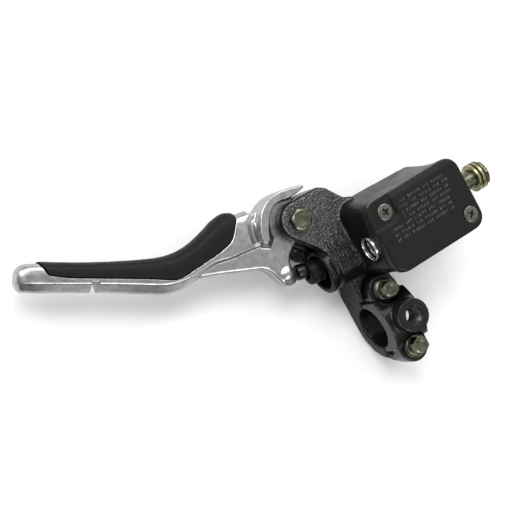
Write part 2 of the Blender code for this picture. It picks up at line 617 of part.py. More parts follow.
def blade_section(rear, front, half, shoulder, crest, inset):
    """A section across the lever: flat on top from the crest forwards, with a sloping rear side."""
    profile = [(-1, 0), (-0.995, 0.45 * shoulder), (-0.975, 0.8 * shoulder), (-0.94, shoulder),
               (crest - 0.05, 0.93), (crest - 0.02, 0.98), (crest, 1.0), (crest + 0.1, 1.02), (0.2, 1.03),
               (0.48, 0.99), (0.66, 0.91), (0.8, 0.78), (0.91, 0.57), (0.98, 0.3), (1, 0)]  # fmt: skip
    loop = profile + [(across, -height) for across, height in profile[-2:0:-1]]
    rear, front = Vector(rear), Vector(front)
    middle, reach = (rear + front) / 2, (front - rear) / 2
    shrink = max(0.05, 1 - inset / reach.length)
    thin = max(0.1, 1 - inset / half)
    spots = [(middle + reach * across * shrink, height * half * thin) for across, height in loop]
    return [(spot.x, spot.y, height) for spot, height in spots]


def blade_loft(name, inset=0.0, pieces=3):
    rows = [(*rear, *front, *heights) for rear, front, *heights in STATIONS]
    fine = smooth_curve(rows, pieces)
    return loft(name, [blade_section(row[:2], row[2:4], *row[4:], inset) for row in fine])


def rubber_region(name, shrink):
    """Plan region in front of the grip's rear boundary, made smaller by shrink for the grip itself."""
    s = shrink
    boundary = [
        (-48.0 - s, 100, 0), (-48.8 - s, 84.2, 7), (-57.0, 75.2 + s, 9), (-66, 73.6 + s, 12),
        (-90.5, 72.2 + s, 10), (-103, 80.0 + s, 0), (-137.6, 99.8 + s, 7), (-145.2 + s, 105.4, 2.5),
        (-146.6 + s, 118, 0), (-120, 126, 0),
    ]  # fmt: skip
    return prism(name, rounded(boundary, 4), -12, 12)


def horn_wall():
    """The raised wall that wraps the fork's ear and ends in a horn, narrower at its top."""
    horn = [(-26.6, 80.6), (-24.2, 80.4), (-21.6, 79.8), (-19.2, 79.5), (-16.8, 79.5), (-14.6, 79.8)]
    foot = [(-36.8, 65.9), (-36.7, 68.8), (-36.2, 71.8), (-34.4, 75.6), (-31.8, 78.4), (-29.2, 80.0), *horn,
            (-10.7, 80.4), (-11.0, 82.4), (-17.8, 83.9), (-23.3, 85.0), (-28.3, 85.1), (-32.5, 84.2),
            (-36.4, 82.4), (-39.4, 80.0), (-42.1, 77.2), (-43.9, 74.1), (-45.0, 69.4), (-44.8, 65.0),
            (-40.8, 62.6)]  # fmt: skip
    crest = [(-40.4, 66.6), (-39.2, 69.8), (-37.3, 72.9), (-34.6, 76.4), (-31.9, 78.9), (-29.2, 80.2), *horn,
             (-10.9, 80.6), (-11.3, 82.1), (-17.8, 83.5), (-23.3, 84.7), (-28.0, 84.8), (-31.5, 84.0),
             (-34.8, 82.3), (-37.2, 80.4), (-39.2, 77.9), (-41.2, 74.6), (-43.0, 71.0), (-44.0, 68.0),
             (-42.6, 65.6)]  # fmt: skip
    levels = ((WALL_Z[0], foot), (WALL_Z[0] + 9.6, foot), (WALL_Z[1], crest))
    return loft("wall", [[(x, y, z) for x, y in outline] for z, outline in levels])


def wall_valley(side):
    """The hollow in the blade along the outer foot of the wall, on the upper or the lower side."""
    profile = [(4.4, 22.9), (5.0, 22.1), (7.0, 21.6), (9.0, 21.6), (9.0, 26.6), (7.0, 26.4), (5.2, 25.2)]
    valley = turned("valley", [(side * along, radius) for along, radius in profile], "Z", (*PIVOT, 0), 48)
    return keep(valley, box("valley_room", (-60, -38.6), (67.4, 86), (-10, 10)))


def hub_outline():
    """Plan outline of the flat hub plate between the ears."""
    hub = arc(PIVOT, 8.8, -60, 64, 12)
    rim = arc(PIVOT, WALL_INNER_R + 1, 66, 100, 4)
    return [*hub, *rim, (-33, 82.6), (-46, 81.0), (-50, 70), (-40, 60), (-31.0, 58.6), (-28.0, 58.6)]


def arm_outline():
    """Plan outline of the plate along the rear of the web, which runs out to the knob."""
    return [(-30.6, 62), (-44, 72), (-82, 71), (-83.5, 68.4), (-79, 67.2), (-72, 64.8), (-66, 62.4),
            (-59.8, 59.8), (-53.5, 57.2), (-49.6, 55.6), (-47.3, 53.6), (-45.7, 50.4), (-44.7, 47.2),
            (-43.4, 43.6), (-35.0, 47.6), (-34.6, 51.4), (-32.6, 54.3), (-28.8, 57.3), (-24.4, 59.4)]  # fmt: skip


def domed(radius, half):
    """Profile of an upright pin with a domed end above and below."""
    dome = [(0.4 * half, radius), (0.62 * half, 0.89 * radius), (0.8 * half, 0.7 * radius),
            (0.93 * half, 0.42 * radius), (half, 0.14 * radius)]  # fmt: skip
    return [(half, 0), *dome[::-1], *((-along, across) for along, across in dome), (-half, 0)]


def make_lever(parent):
    lever = blade_loft("lever")
    cut(lever, rod("ear_room", WALL_INNER_R, (HUB_HALF, 20), "Z", (*PIVOT, 0), 36))
    cut(lever, rod("ear_room", WALL_INNER_R, (-20, -HUB_HALF), "Z", (*PIVOT, 0), 36))
    fuse(lever, prism("arm", arm_outline(), -HUB_HALF, HUB_HALF, ARM_EDGE, 2))
    fuse(lever, prism("hub", hub_outline(), -HUB_HALF, HUB_HALF))
    cut(lever, wall_valley(1), wall_valley(-1))
    fuse(lever, horn_wall())
    fuse(lever, turned("knob", domed(KNOB_R, HUB_HALF), "Z", (*KNOB, 0)))
    fuse(lever, turned("dome", domed(DOME_R, KNOB_HALF), "Z", (*DOME, 0)))
    cut(lever, rod("hub_hole", HUB_HOLE_R, (-9, 9), "Z", (*PIVOT, 0)))
    groove = rubber_region("groove", 0.0)
    cut(groove, blade_loft("core", RUBBER_SKIN))
    cut(lever, groove)
    notch = box("notch", (-NOTCH_WIDTH / 2, NOTCH_WIDTH / 2), (-6, NOTCH_DEPTH), (-12, 12))
    notch.data.transform(Matrix.Rotation(math.radians(-30), 4, "Z"))
    notch.data.transform(Matrix.Translation(Vector((*NOTCH_AT, 0)) * MM))
    cut(lever, notch)
    finish_piece(lever, *BARE_ALUMINIUM, (*PIVOT, 0), parent)


def make_grip(parent):
    grip = blade_loft("lever_rubber_grip", -RUBBER_PROUD)
    cut(grip, blade_loft("core", RUBBER_SKIN - GAP))
    keep(grip, rubber_region("region", GAP))
    finish_piece(grip, *RUBBER, (*PIVOT, 0), parent)


def make_pivot(parent):
    centre = (*PIVOT, 0)
    bush = ring("pivot_bush", PIVOT_HOLE_R, BUSH_R, (-4.6, 4.6), "Z", centre)
    finish_piece(bush, *BRONZE, centre, parent)
    head_z = EAR_TOP + GAP
    bolt = rod("pivot_bolt", PIVOT_SHANK_R, (-17, head_z + 1), "Z", centre, 20)
    fuse(bolt, hexagon("head", PIVOT_FLATS, (head_z, head_z + PIVOT_HEAD), "Z", centre))
    finish_piece(bolt, *OLIVE_ZINC)
    nut = hexagon("pivot_nut", 10, (-16, EAR_BOTTOM - GAP), "Z", centre)
    cut(nut, rod("thread", PIVOT_HOLE_R, (-30, 0), "Z", centre, 20))
    finish_piece(nut, *OLIVE_ZINC)


def main():
    clear_scene()
    lever_axis = joint_empty("lever_axis", (*PIVOT, 0))
    piston_axis = joint_empty("piston_axis", (0, CYL_Y, 0))
    rod_axis = joint_empty("push_rod_axis", (ROD_SEAT_X, CYL_Y, 0), piston_axis)
    make_body()
    make_clamp_cap()
    make_clamp_bolts()
    make_lid()
    make_lid_screws()
    make_diaphragm()
    make_baffle()
    make_sight_glass()
    make_piston(piston_axis)
    make_return_spring()
    make_retainer()
    make_push_rod(rod_axis)
    make_hose_bolt()
    make_lever(lever_axis)
    make_grip(lever_axis)
    make_pivot(lever_axis)


main()
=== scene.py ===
"""Looks of the handlebar master cylinder: rounded castings, fine turned parts, materials and studio.

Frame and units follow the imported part: +X along the handlebar towards the hose end, +Y forwards,
+Z up. Sizes are millimetres, apart from the camera, the lights and the floor, which are in metres.
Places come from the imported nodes.
"""

import json
import math

import bmesh
import bpy
from mathutils import Matrix, Vector


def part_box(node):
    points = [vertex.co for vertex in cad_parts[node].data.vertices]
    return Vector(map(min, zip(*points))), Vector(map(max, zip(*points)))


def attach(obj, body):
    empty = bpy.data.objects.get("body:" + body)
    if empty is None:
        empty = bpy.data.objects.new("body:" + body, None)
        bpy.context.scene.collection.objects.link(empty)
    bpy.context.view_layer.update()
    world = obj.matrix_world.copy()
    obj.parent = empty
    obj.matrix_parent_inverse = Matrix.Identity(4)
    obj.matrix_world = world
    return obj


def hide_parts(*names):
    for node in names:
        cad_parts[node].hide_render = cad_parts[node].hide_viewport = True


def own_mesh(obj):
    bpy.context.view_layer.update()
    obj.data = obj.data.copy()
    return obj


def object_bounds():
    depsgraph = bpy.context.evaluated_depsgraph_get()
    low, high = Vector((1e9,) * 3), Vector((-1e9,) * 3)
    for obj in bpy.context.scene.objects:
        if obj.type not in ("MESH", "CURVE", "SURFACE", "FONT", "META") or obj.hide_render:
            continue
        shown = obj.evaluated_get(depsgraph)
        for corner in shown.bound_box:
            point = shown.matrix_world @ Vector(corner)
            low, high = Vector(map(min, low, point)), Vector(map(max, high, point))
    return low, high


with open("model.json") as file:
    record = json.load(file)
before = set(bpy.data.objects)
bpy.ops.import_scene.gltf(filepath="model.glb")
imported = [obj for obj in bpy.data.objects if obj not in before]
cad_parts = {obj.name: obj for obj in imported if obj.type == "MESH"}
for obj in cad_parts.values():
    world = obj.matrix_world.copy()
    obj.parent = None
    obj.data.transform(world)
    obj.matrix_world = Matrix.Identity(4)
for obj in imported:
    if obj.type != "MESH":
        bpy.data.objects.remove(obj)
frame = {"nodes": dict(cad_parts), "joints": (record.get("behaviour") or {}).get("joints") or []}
cad_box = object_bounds()

MM = 0.001

# Camera, in metres: where it stands and which way its right and up sides point
CAMERA_AT = (-0.3372, 0.1505, 0.7258)
CAMERA_RIGHT = (0.796, -0.475, 0.375)
CAMERA_UP = (0.480, 0.873, 0.086)
CAMERA_LENS = 112.7  # millimetres

# Studio, in metres: soft boxes as name, direction, distance, size and radiance
LIGHT_TARGET = (-0.05, 0.05, 0.0)
LIGHTS = (
    ("rear_strip", (-0.05, -0.62, 0.75), 1.1, (0.7, 0.3), 8.0),
    ("front_top", (-0.10, 0.55, 0.83), 1.1, (0.7, 0.4), 7.5),
    ("front_box", (-0.35, 0.80, 0.50), 1.2, (0.6, 0.3), 6.0),
    ("right_top", (0.55, 0.55, 0.63), 1.2, (0.6, 0.5), 6.5),
    ("top_box", (0.66, -0.10, 0.74), 1.2, (0.55, 0.7), 0.6),
)
WORLD_BRIGHT_SIDE = (0.35, 0.6, 0.7)
WORLD_REACH = (-0.7, 0.9)  # cosines to the bright side between which the world brightens
WORLD_LEVELS = (0.06, 0.48)
FLOOR_REACH, FLOOR_GAP = 3.0, 0.0003

# Castings: voxel of the remesh and steps of smoothing that round their edges
BODY_CAST = (0.6, 5)
CAP_CAST = (0.42, 5)
LEVER_CAST = (0.42, 5)
GRIP_CAST = (0.42, 6)
LID_CAST = (0.33, 3)
EAR_FADE = (40.0, 58.0)  # along Y, where the arm turns into the glossier ear

# Lid: slope of its front edge, and a panel of pips with its margins
SLOPE_START, SLOPE_WIDTH, SLOPE_DROP = 14.5, 3.6, 0.8
PIP_ROWS, PIP_PITCH, PIP_ROW_PITCH = 7, 1.35, 2.75
PIP_X, PIP_Y, PIP_HEIGHT = 0.8, 1.7, 0.15
PIP_FOOT_SHARE, PIP_TOP_SHARE = 1.1, 0.7  # of its sides, below and above the lid's surface
PANEL_FRONT, PANEL_LEFT, PANEL_RIGHT, PANEL_RIGHT_STEP = 6.6, 8.5, 7.0, 0.75
POCKET_MARGIN, POCKET_Y = 17.6, 44  # rows in front of this Y start beside the screw's pocket

# Cross recess of the lid's screws: height from the top, half length and half width of its two ends
RECESS_ENDS = ((-1.7, 0.9, 0.28), (0.4, 2.35, 0.62))
SCREW_TURNS = {"left": 20, "right": 48}  # degrees

# Turned pieces
ROUND_STEPS = 96  # points round a turned piece
RIM_STEPS = 4  # faces across a rounded rim
SHARP_ANGLE, WOUND_SHARP_ANGLE = 32, 60  # degrees from which an edge stays sharp

# Hexagon heads: width across flats, height, and the chamfer that takes their corners off
BOLT_FLATS, PIVOT_FLATS, NUT_FLATS, HOSE_FLATS = 8.0, 10.0, 10.0, 12.0
BOLT_HEAD, PIVOT_HEAD, HOSE_HEAD = 7.2, 3.7, 3.3
SHARP_CORNERS, WORN_CORNERS = 60, 14
FLAT_SHARE, CROWN_SLOPE = 0.46, 0.5

# Shanks and bores, as radii
BOLT_R, BOLT_WASHER_R = 2.7, 3.1
PIVOT_R, NUT_BORE_R = 2.9, 3.25
HOSE_R, HOSE_DRILL_R, HOSE_WASHER_R = 4.75, 1.9, 5.1
HOSE_DRILL_DEPTH = 15.5
HOSE_THREAD = (1.2, 10.5)  # from the bolt's end
THREAD_PITCH, THREAD_DEPTH = 1.25, 0.55
THREAD_FLOOR = (0.5, 0.72)  # where a groove is deepest, from its start
CROSS_HOLE_X, CROSS_HOLE_R = 74.6, 1.3

# Thread in the mirror's hole
MIRROR_X, MIRROR_HOLE_R = 1.0, 4.5
MIRROR_THREAD = (12.5, 1.25)  # depths below the boss
MIRROR_TURNS, MIRROR_STEPS = 9, 48

# Sight glass
SIGHT_RING_WIDTH = 0.45
STAR_R, STAR_POINTS = 4.6, 8

# Push rod and boot, built along X from the rod's ball seat
ROD_LEAN, BOOT_LEAN = math.radians(12.0), math.radians(6.6)
BALL_R, BALL_END, BALL_STEPS = 2.5, 2.3, 13  # the ball ends at this angle from its tip
ROD_HEAD_R, ROD_RIM = 4.0, 0.35  # the rim is rounded, so the head reaches that much further
BOOT_BORE_R = 2.95

# Return spring
WIRE_R, WIRE_SIDES = 0.5, 10
SPRING_TURNS, SPRING_STEPS = 7, 28


# ---------------------------------------------------------------- building blocks


def millimetre_box(node):
    """Lowest and highest corner of a CAD node, in millimetres."""
    low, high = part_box(node)
    return low / MM, high / MM


def joint(name):
    return next(found for found in frame["joints"] if found["name"] == name)


def new_object(name, mesh):
    obj = bpy.data.objects.new(name, mesh)
    bpy.context.scene.collection.objects.link(obj)
    return obj


def from_points(name, points, faces):
    """An object in metres from points in millimetres, its faces turned outwards."""
    mesh = bpy.data.meshes.new(name)
    mesh.from_pydata([tuple(Vector(point) * MM) for point in points], [], faces)
    bm = bmesh.new()
    bm.from_mesh(mesh)
    bmesh.ops.recalc_face_normals(bm, faces=bm.faces)
    bm.to_mesh(mesh)
    bm.free()
    return new_object(name, mesh)


def apply_modifiers(obj):
    graph = bpy.context.evaluated_depsgraph_get()
    mesh = bpy.data.meshes.new_from_object(obj.evaluated_get(graph))
    obj.modifiers.clear()
    obj.data = mesh


def combine(target, tool, operation):
    """Applies one Boolean to the target and removes the tool."""
    modifier = target.modifiers.new(operation, "BOOLEAN")
    modifier.operation = operation
    modifier.object = tool
    apply_modifiers(target)
    bpy.data.objects.remove(tool, do_unlink=True)
    return target


def soften(obj, voxel, smoothing):
    """Rebuilds a solid in small even faces and smooths them, which rounds its edges as in a casting."""
    remesh = obj.modifiers.new("remesh", "REMESH")
    remesh.mode = "VOXEL"
    remesh.voxel_size = voxel * MM
    smooth = obj.modifiers.new("smooth", "SMOOTH")
    smooth.factor = 0.5
    smooth.iterations = smoothing
    apply_modifiers(obj)
    obj.data.shade_smooth()
    return obj


def merged_copy(name, node):
    """A copy of a CAD node as one closed mesh."""
    bm = bmesh.new()
    bm.from_mesh(frame["nodes"][node].data)
    bmesh.ops.remove_doubles(bm, verts=bm.verts, dist=1e-6)
    mesh = bpy.data.meshes.new(name)
    bm.to_mesh(mesh)
    bm.free()
    return new_object(name, mesh)


def cast_copy(name, node, voxel, smoothing):
    return soften(merged_copy(name, node), voxel, smoothing)


def shade(obj, angle=SHARP_ANGLE):
    obj.data.shade_smooth()
    obj.data.set_sharp_from_angle(angle=math.radians(angle))


def place(piece, body, slot, material, *nodes):
    """Gives a piece its material and its body, and hides the CAD nodes that it stands for."""
    piece.data.materials.clear()
    piece.data.materials.append(material)
    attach(piece, body)
    if nodes:
        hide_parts(*nodes)


# ---------------------------------------------------------------- blocks


def block_points(x, y, ends, turn=0.0):
    """Corners of a tapered block at x, y. Each of its two ends is a height, half length and half width."""
    points = []
    for height, length, width in ends:
        for across, along in ((-1, -1), (1, -1), (1, 1), (-1, 1)):
            spot = Matrix.Rotation(turn, 2) @ Vector((across * length, along * width))
            points.append((x + spot.x, y + spot.y, height))
    return points


def block_faces(base=0):
    """Faces of a block whose first corner is point number base."""
    sides = [(k, (k + 1) % 4, (k + 1) % 4 + 4, k + 4) for k in range(4)]
    return [tuple(base + k for k in face) for face in ((3, 2, 1, 0), (4, 5, 6, 7), *sides)]


# ---------------------------------------------------------------- turned and wound surfaces


def laid_out(points, axis, at):
    """Moves points that were built about Z at the origin to their own axis and place."""
    if axis == "X":
        points = [(z, x, y) for x, y, z in points]
    return [Vector(point) + Vector(at) for point in points]


def lathe(name, rings, axis="Z", at=(0, 0, 0), hollow=False, steps=ROUND_STEPS):
    """A surface of rings about an axis. A ring is (along, radius), or gives that for an angle."""
    points, loops = [], []
    for ring in rings:
        spots = [ring(2 * math.pi * k / steps) if callable(ring) else ring for k in range(steps)]
        if spots[0][1] == 0:
            loops.append([len(points)] * steps)
            points.append((0, 0, spots[0][0]))
            continue
        loops.append(range(len(points), len(points) + steps))
        for k, (along, radius) in enumerate(spots):
            angle = 2 * math.pi * k / steps
            points.append((radius * math.cos(angle), radius * math.sin(angle), along))
    pairs = list(zip(loops, loops[1:])) + ([(loops[-1], loops[0])] if hollow else [])
    faces = []
    for low, high in pairs:
        for k in range(steps):
            n = (k + 1) % steps
            corners = (low[k], low[n], high[n], high[k])
            faces.append(tuple(dict.fromkeys(corners)))
    obj = from_points(name, laid_out(points, axis, at), faces)
    shade(obj)
    return obj


def wound(name, section, radius, start, end, turns, steps, axis, at):
    """A section of (outwards, along) points wound about an axis as a helix, closed at both ends."""
    count, sides = turns * steps, len(section)
    points, faces = [], []
    for k in range(count + 1):
        angle = 2 * math.pi * k / steps
        here = start + (end - start) * k / count
        points += [((radius + out) * math.cos(angle), (radius + out) * math.sin(angle), here + along)
                   for out, along in section]
    for k in range(count):
        for s in range(sides):
            a, b = k * sides + s, k * sides + (s + 1) % sides
            faces.append((a, b, b + sides, a + sides))
    faces += [tuple(range(sides)), tuple(range(count * sides, (count + 1) * sides))]
    obj = from_points(name, laid_out(points, axis, at), faces)
    shade(obj, WOUND_SHARP_ANGLE)
    return obj


def rounded(radius, start, end, edge):
    """Rings of a turned part's outer face from start to end along it, with its two rims rounded."""
    turn = [math.pi / 2 * k / RIM_STEPS for k in range(RIM_STEPS + 1)]
    first = [(start + edge - edge * math.cos(a), radius - edge + edge * math.sin(a)) for a in turn]
    last = [(end - edge + edge * math.sin(a), radius - edge + edge * math.cos(a)) for a in turn]
    return first + last


def hexagon_radius(angle, flats, crisp):
    """Distance from the middle of a hexagon to its side, with its corners rounder as crisp falls."""
    sides = [max(0.0, math.cos(angle - math.radians(60 * k))) ** crisp for k in range(6)]
    return flats / 2 / sum(sides) ** (1 / crisp)


def hexagon(along, flats, crisp=SHARP_CORNERS):
    return lambda angle: (along, hexagon_radius(angle, flats, crisp))


def crown(end, flats, inset=0.0, crisp=SHARP_CORNERS, outwards=1):
    """The edge where a shallow cone takes the corners off a hexagonal head, which ends outwards at end."""

    def spot(angle):
        radius = hexagon_radius(angle, flats, crisp)
        return end - outwards * ((radius - FLAT_SHARE * flats) * CROWN_SLOPE + inset), radius

    return spot


def hexagon_head(foot, top, flats, crisp=SHARP_CORNERS):
    """Rings of a hexagonal head with its corners chamfered and a shallow dish in its top."""
    flat = FLAT_SHARE * flats
    edge = [hexagon(foot, flats, crisp), crown(top, flats, 0.12, crisp), crown(top, flats - 0.1, 0.0, crisp)]
    dish = [(top, flat - 0.1), (top - 0.02, flat - 0.25), (top - 0.03, 0.27 * flats),
            (top - 0.22, 0.22 * flats), (top - 0.25, 0)]
    return edge + dish


# ---------------------------------------------------------------- materials


class Finish:
    """A Principled material with a few procedural inputs. Sizes and depths are millimetres."""

    def __init__(self, name, **fixed):
        self.material = bpy.data.materials.new(name)
        self.material.use_nodes = True
        self.tree = self.material.node_tree
        self.shader = self.tree.nodes["Principled BSDF"]
        for socket, value in fixed.items():
            self.shader.inputs[socket.replace("_", " ")].default_value = value
        self.coordinates = self.add("ShaderNodeTexCoord")
        self.relief = None

    def add(self, kind, **settings):
        node = self.tree.nodes.new(kind)
        for key, value in settings.items():
            setattr(node, key, value)
        return node

    def link(self, source, target):
        self.tree.links.new(source, target)

    def feed(self, socket, source):
        self.link(source, self.shader.inputs[socket])

    def noise(self, size, detail=3.0, rough=0.5):
        node = self.add("ShaderNodeTexNoise")
        self.link(self.coordinates.outputs["Object"], node.inputs["Vector"])
        node.inputs["Scale"].default_value = 1 / (size * MM)
        node.inputs["Detail"].default_value = detail
        node.inputs["Roughness"].default_value = rough
        return node.outputs["Fac"]

    def along(self, output, axis):
        """One axis of the spot's place (Object) or of the way it faces (Normal), in the part's frame."""
        split = self.add("ShaderNodeSeparateXYZ")
        self.link(self.coordinates.outputs[output], split.inputs["Vector"])
        return split.outputs[axis]

    def span(self, factor, low, high, start=0.3, end=0.7):
        """Maps a factor from start..end to low..high."""
        node = self.add("ShaderNodeMapRange", interpolation_type="SMOOTHSTEP")
        self.link(factor, node.inputs["Value"])
        for socket, value in (("From Min", start), ("From Max", end), ("To Min", low), ("To Max", high)):
            node.inputs[socket].default_value = value
        return node.outputs["Result"]

    def times(self, first, second):
        node = self.add("ShaderNodeMath", operation="MULTIPLY")
        self.link(first, node.inputs[0])
        self.link(second, node.inputs[1])
        return node.outputs["Value"]

    def colours(self, factor, first, second, start=0.3, end=0.7):
        ramp = self.add("ShaderNodeValToRGB")
        for element, position, colour in zip(ramp.color_ramp.elements, (start, end), (first, second)):
            element.position = position
            element.color = (*colour, 1)
        self.link(factor, ramp.inputs["Fac"])
        self.feed("Base Color", ramp.outputs["Color"])

    def roughness(self, factor, low, high):
        self.feed("Roughness", self.span(factor, low, high))

    def bump(self, factor, depth):
        """Adds relief of so many millimetres to what is there."""
        node = self.add("ShaderNodeBump")
        node.inputs["Distance"].default_value = depth * MM
        self.link(factor, node.inputs["Height"])
        if self.relief is not None:
            self.link(self.relief, node.inputs["Normal"])
        self.relief = node.outputs["Normal"]
        self.feed("Normal", self.relief)


def body_paint():
    """Black gloss enamel over a casting, wrinkled where it looks up, and shinier on the ear."""
    finish = Finish("body_paint", Base_Color=(0.006, 0.006, 0.0065, 1))
    finish.roughness(finish.noise(7.0), 0.22, 0.34)
    wrinkled = finish.span(finish.along("Normal", "Z"), 0.0, 1.0, 0.75, 0.95)
    start, end = EAR_FADE
    ear = finish.span(finish.along("Object", "Y"), 0.35, 1.0, start * MM, end * MM)
    finish.feed("Specular IOR Level", finish.span(finish.times(wrinkled, ear), 0.12, 1.0, 0.0, 1.0))
    finish.bump(finish.noise(2.2, 2.0), 0.02)
    finish.bump(finish.times(finish.noise(0.95, 1.0), wrinkled), 0.5)
    return finish.material


def cap_paint():
    finish = Finish("cap_paint", Base_Color=(0.006, 0.006, 0.0065, 1), Specular_IOR_Level=0.3)
    finish.roughness(finish.noise(5.0), 0.2, 0.32)
    finish.bump(finish.noise(1.6, 2.0), 0.03)
    return finish.material


def lid_paint():
    finish = Finish("lid_paint", Specular_IOR_Level=0.22)
    finish.colours(finish.noise(9.0, 4.0), (0.005, 0.005, 0.0048), (0.007, 0.007, 0.0065))
    finish.roughness(finish.noise(3.0), 0.34, 0.44)
    finish.bump(finish.noise(0.4, 2.0), 0.006)
    return finish.material


def painted_glint_marks():
    """The lid's paint on its raised marks, paler in spots: a painted glint that stands in for the light
    their edges catch.
    """
    finish = Finish("painted_glint_marks", Roughness=0.35, Specular_IOR_Level=0.6)
    # The paler colour in spots is painted glint on the raised marks.
    finish.colours(finish.noise(1.3, 2.0, 0.7), (0.006, 0.006, 0.006), (0.075, 0.075, 0.072), 0.42, 0.62)
    finish.bump(finish.noise(0.9), 0.05)
    return finish.material


def cast_aluminium():
    finish = Finish("cast_aluminium", Metallic=1.0)
    finish.colours(finish.noise(4.0, 5.0, 0.7), (0.3, 0.3, 0.293), (0.43, 0.43, 0.42), 0.36, 0.6)
    finish.roughness(finish.noise(2.4), 0.3, 0.38)
    finish.bump(finish.noise(0.9, 3.0, 0.6), 0.008)
    finish.bump(finish.noise(7.0, 2.0), 0.06)
    return finish.material


def metal(name, first, second, roughness=(0.26, 0.42)):
    """Plated or bare metal whose tint varies from spot to spot."""
    finish = Finish(name, Metallic=1.0)
    finish.colours(finish.noise(2.2, 4.0, 0.6), first, second, 0.35, 0.65)
    finish.roughness(finish.noise(1.2), *roughness)
    finish.bump(finish.noise(0.5), 0.008)
    return finish.material


def moulded_rubber(name, darkest):
    finish = Finish(name, Specular_IOR_Level=0.12)
    finish.colours(finish.noise(6.0, 4.0), (darkest,) * 3, (1.3 * darkest,) * 3)
    finish.roughness(finish.noise(2.0), 0.42, 0.56)
    finish.bump(finish.noise(0.45), 0.008)
    return finish.material


def lens_glass():
    finish = Finish("lens_glass", Base_Color=(0.40, 0.44, 0.36, 1), IOR=1.49, Transmission_Weight=0.9)
    finish.roughness(finish.noise(3.0), 0.04, 0.1)
    return finish.material


def star_plate():
    """Pale sheet metal stained by brake fluid, behind the sight glass."""
    finish = Finish("star_plate", Roughness=0.4, Metallic=0.7)
    finish.colours(finish.noise(1.1, 3.0, 0.7), (0.03, 0.033, 0.024), (0.25, 0.25, 0.21), 0.4, 0.62)
    finish.bump(finish.noise(0.7), 0.06)
    return finish.material


def grey_plastic():
    finish = Finish("grey_plastic", Base_Color=(0.12, 0.12, 0.12, 1))
    finish.roughness(finish.noise(3.0), 0.45, 0.6)
    finish.bump(finish.noise(0.6), 0.01)
    return finish.material


# ---------------------------------------------------------------- castings


def make_castings():
    body = cast_copy("body_casting", "master_cylinder_body", *BODY_CAST)
    place(body, "root", "black_paint", body_paint(), "master_cylinder_body")
    cap = cast_copy("clamp_cap_casting", "clamp_cap", *CAP_CAST)
    place(cap, "root", "black_paint", cap_paint(), "clamp_cap")


def make_lever():
    lever = cast_copy("lever_casting", "lever", *LEVER_CAST)
    place(lever, "lever", "bare_aluminium", cast_aluminium(), "lever")
    grip = cast_copy("lever_grip", "lever_rubber_grip", *GRIP_CAST)
    place(grip, "lever", "rubber", moulded_rubber("moulded_rubber", 0.007), "lever_rubber_grip")


# ---------------------------------------------------------------- lid and its screws


def front_slope(low, high):
    """The tool that slopes the lid's front edge, from the corner pocket to the hose end."""
    beyond = 2.0
    inner, outer = high.y - SLOPE_WIDTH, high.y + beyond
    foot = high.z - SLOPE_DROP * (SLOPE_WIDTH + beyond) / SLOPE_WIDTH
    section = [(inner, high.z), (outer, foot), (outer, high.z + 3), (inner, high.z + 3)]
    points = [(x, *spot) for x in (low.x + SLOPE_START, high.x + beyond) for spot in section]
    return from_points("front_slope", points, block_faces())


def make_lid():
    low, high = millimetre_box("reservoir_cap")
    lid = merged_copy("lid", "reservoir_cap")
    combine(lid, front_slope(low, high), "DIFFERENCE")
    soften(lid, *LID_CAST)
    place(lid, "root", "lid_paint", lid_paint(), "reservoir_cap")


def make_pips():
    """Rows of small raised blocks on the lid, with some left out so that no row is even."""
    low, high = millimetre_box("reservoir_cap")
    ends = [(high.z + rise, share * PIP_X / 2, share * PIP_Y / 2)
            for rise, share in ((-PIP_HEIGHT, PIP_FOOT_SHARE), (PIP_HEIGHT, PIP_TOP_SHARE))]
    points, faces = [], []
    for row in range(PIP_ROWS):
        y = high.y - PANEL_FRONT - row * PIP_ROW_PITCH
        start = low.x + (POCKET_MARGIN if y > POCKET_Y else PANEL_LEFT)
        end = high.x - PANEL_RIGHT - PANEL_RIGHT_STEP * row
        for k in range(int((end - start) / PIP_PITCH)):
            if (7 * k + 5 * row) % 11 in (0, 6):
                continue
            faces += block_faces(len(points))
            points += block_points(start + k * PIP_PITCH, y, ends)
    # The raised marks take a paint that is lighter in spots as a painted glint.
    place(from_points("lid_pips", points, faces), "root", "lid_paint", painted_glint_marks())


def make_lid_screws(material):
    for side, turn in SCREW_TURNS.items():
        node = "cap_screw_" + side
        low, high = millimetre_box(node)
        middle = (low + high) / 2
        radius = (high.x - low.x) / 2
        top = high.z
        rings = [(low.z, 0), (low.z, 1.2), (low.z + 0.8, 1.9), (top - 2.55, 1.9), (top - 0.5, radius - 0.1),
                 (top - 0.38, radius), (top - 0.24, radius - 0.04), (top - 0.1, radius - 0.35),
                 (top - 0.03, radius - 1.2), (top, 0)]
        screw = lathe("lid_screw_" + side, rings, at=(middle.x, middle.y, 0))
        combine(screw, cross_recess(middle, top, math.radians(turn)), "DIFFERENCE")
        shade(screw)
        place(screw, "root", "steel", material, node)


def cross_recess(middle, top, turn):
    """The tool that cuts a cross recess: two tapered blades across each other."""
    ends = [(top + height, length, width) for height, length, width in RECESS_ENDS]
    blades = [from_points("recess", block_points(middle.x, middle.y, ends, angle), block_faces())
              for angle in (turn, turn + math.pi / 2)]
    return combine(*blades, "UNION")


# ---------------------------------------------------------------- bolts, washers and threads


def make_clamp_bolt(side, material):
    node = "clamp_bolt_" + side
    low, high = millimetre_box(node)
    middle = (low + high) / 2
    flange = (high.x - low.x) / 2
    foot = high.z - BOLT_HEAD
    shank = [(low.z, 0), (low.z, BOLT_R - 0.5), (low.z + 0.6, BOLT_R), (foot, BOLT_R)]
    collar = [(foot, flange - 0.25), (foot + 0.1, flange - 0.05), (foot + 0.35, flange),
              (foot + 0.6, flange - 0.12), (foot + 1.25, flange - 1.1), (foot + 1.3, flange - 1.25)]
    rings = shank + collar + hexagon_head(foot + 1.3, high.z, BOLT_FLATS)
    bolt = lathe("clamp_flange_bolt_" + side, rings, at=(middle.x, middle.y, 0))
    place(bolt, "root", "olive_zinc", material, node)


